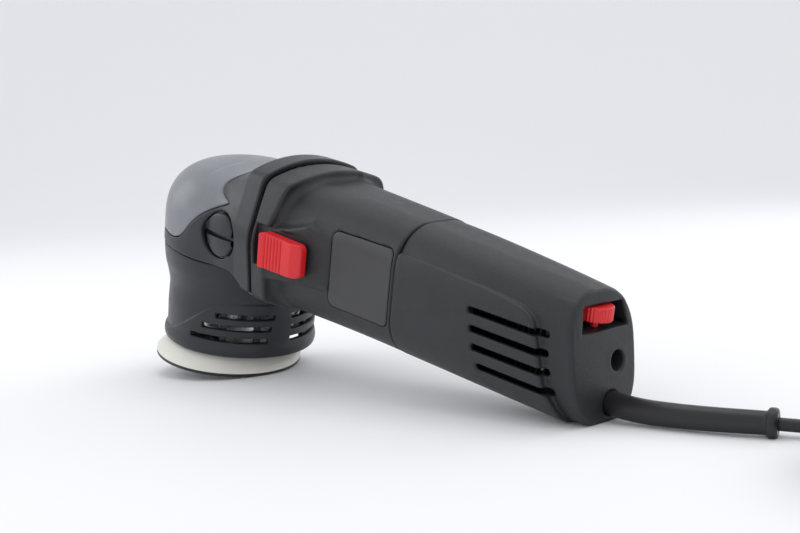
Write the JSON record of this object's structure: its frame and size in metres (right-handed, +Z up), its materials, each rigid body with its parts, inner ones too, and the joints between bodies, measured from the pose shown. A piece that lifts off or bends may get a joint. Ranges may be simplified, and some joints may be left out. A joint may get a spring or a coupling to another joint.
{
  "type": "dual action polisher",
  "caption": "Corded orbital polisher with a right-angle head, a small round hook-faced backing plate, a slide switch and a barrel grip with a speed dial in its tail.",
  "frame": {"origin": "on the floor under the middle of the tool, cord left out, as it rests on its plate's rear edge and its tail", "axes": "+X from the head towards the tail, +Y towards the user's right, +Z up; the tool itself is tilted tail down by 12.456 degrees about Y"},
  "size_m": [0.4924, 0.1235, 0.1132],
  "materials": {
    "black_shell": "fine moulded grain",
    "grey_shell": "satin moulded plastic",
    "inlay": "smooth satin",
    "red_plastic": "satin red",
    "pad_foam": "cream polyurethane",
    "hook_fabric": "woven hooks",
    "rubber": "matt rubber",
    "inner_plastic": "moulded",
    "cast_aluminium": "die cast",
    "steel": "ground steel",
    "zinc_steel": "zinc plated",
    "lamination": "stacked sheet steel",
    "copper": "enamelled copper",
    "brass": "brass",
    "carbon": "pressed carbon",
    "board": "lacquered board"
  },
  "bodies": {
    "root": {"bearing_bracket": "inner_plastic", "bearing_cover": "zinc_steel", "bearing_cover_screws": "zinc_steel", "bearing_retainer": "zinc_steel", "bearing_sleeve": "rubber", "bracket_screws": "zinc_steel", "brush_holders": "brass", "brush_springs": "steel", "carbon_brushes": "carbon", "circuit_board": "board", "clamp_screws": "zinc_steel", "coil_tie": "inner_plastic", "cord": "rubber", "cord_clamp": "inner_plastic", "cord_coil": "rubber", "cord_end": "rubber", "cover_screw": "zinc_steel", "fan_baffle": "inner_plastic", "field_coils": "copper", "front_armature_bearing": "steel", "gearbox_housing": "cast_aluminium", "gearbox_screws": "zinc_steel", "head_cap": "grey_shell", "head_collar": "black_shell", "lower_spindle_bearing": "steel", "motor_housing": "black_shell", "neck_shroud": "black_shell", "plug_body": "rubber", "plug_pins": "brass", "power_switch": "inner_plastic", "rear_armature_bearing": "steel", "rear_cover": "black_shell", "side_inlay_left": "inlay", "side_inlay_right": "inlay", "side_plug_left": "black_shell", "side_plug_right": "black_shell", "stator_core": "lamination", "strain_relief": "rubber", "upper_spindle_bearing": "steel", "vent_screens": "inner_plastic"},
    "spindle": {"spindle": "steel", "crown_gear": "steel", "counterweight": "steel", "lower_plate_bearing": "steel", "upper_plate_bearing": "steel", "bearing_clip": "steel"},
    "plate": {"hook_layer": "hook_fabric", "backing_plate": "pad_foam", "plate_hub": "zinc_steel", "plate_bolt": "zinc_steel", "eccentric_stud": "steel"},
    "armature": {"armature_shaft": "steel", "pinion": "steel", "armature_core": "lamination", "armature_windings": "copper", "commutator": "copper", "cooling_fan": "inner_plastic"},
    "slider": {"slide_button": "red_plastic", "switch_rod": "inner_plastic"},
    "dial": {"speed_dial": "red_plastic"}
  },
  "joints": [
    {"name": "spindle_spin", "type": "hinge", "parent": "root", "child": "spindle", "pos_m": [-0.10512, 0.00084, 0.00793], "axis": [0.2157, 0, 0.9765], "continuous": true},
    {"name": "plate_spin", "type": "hinge", "parent": "spindle", "child": "plate", "pos_m": [-0.10583, -0.00511, 0.00808], "axis": [0.2157, 0, 0.9765], "continuous": true},
    {"name": "armature_spin", "type": "hinge", "parent": "root", "child": "armature", "pos_m": [-0.08937, 0.00084, 0.07921], "axis": [0.9765, 0, -0.2157], "continuous": true},
    {"name": "switch_slide", "type": "slide", "parent": "root", "child": "slider", "axis": [-0.9765, 0, 0.2157], "range_m": [0, 0.006]},
    {"name": "dial_turn", "type": "hinge", "parent": "root", "child": "dial", "pos_m": [0.13542, 0.00084, 0.04491], "axis": [0.2157, 0, 0.9765], "range_deg": [0, 260]}
  ],
  "couplings": [
    {"joint": "armature_spin", "follows": "spindle_spin", "ratio": 3.5556}
  ]
}
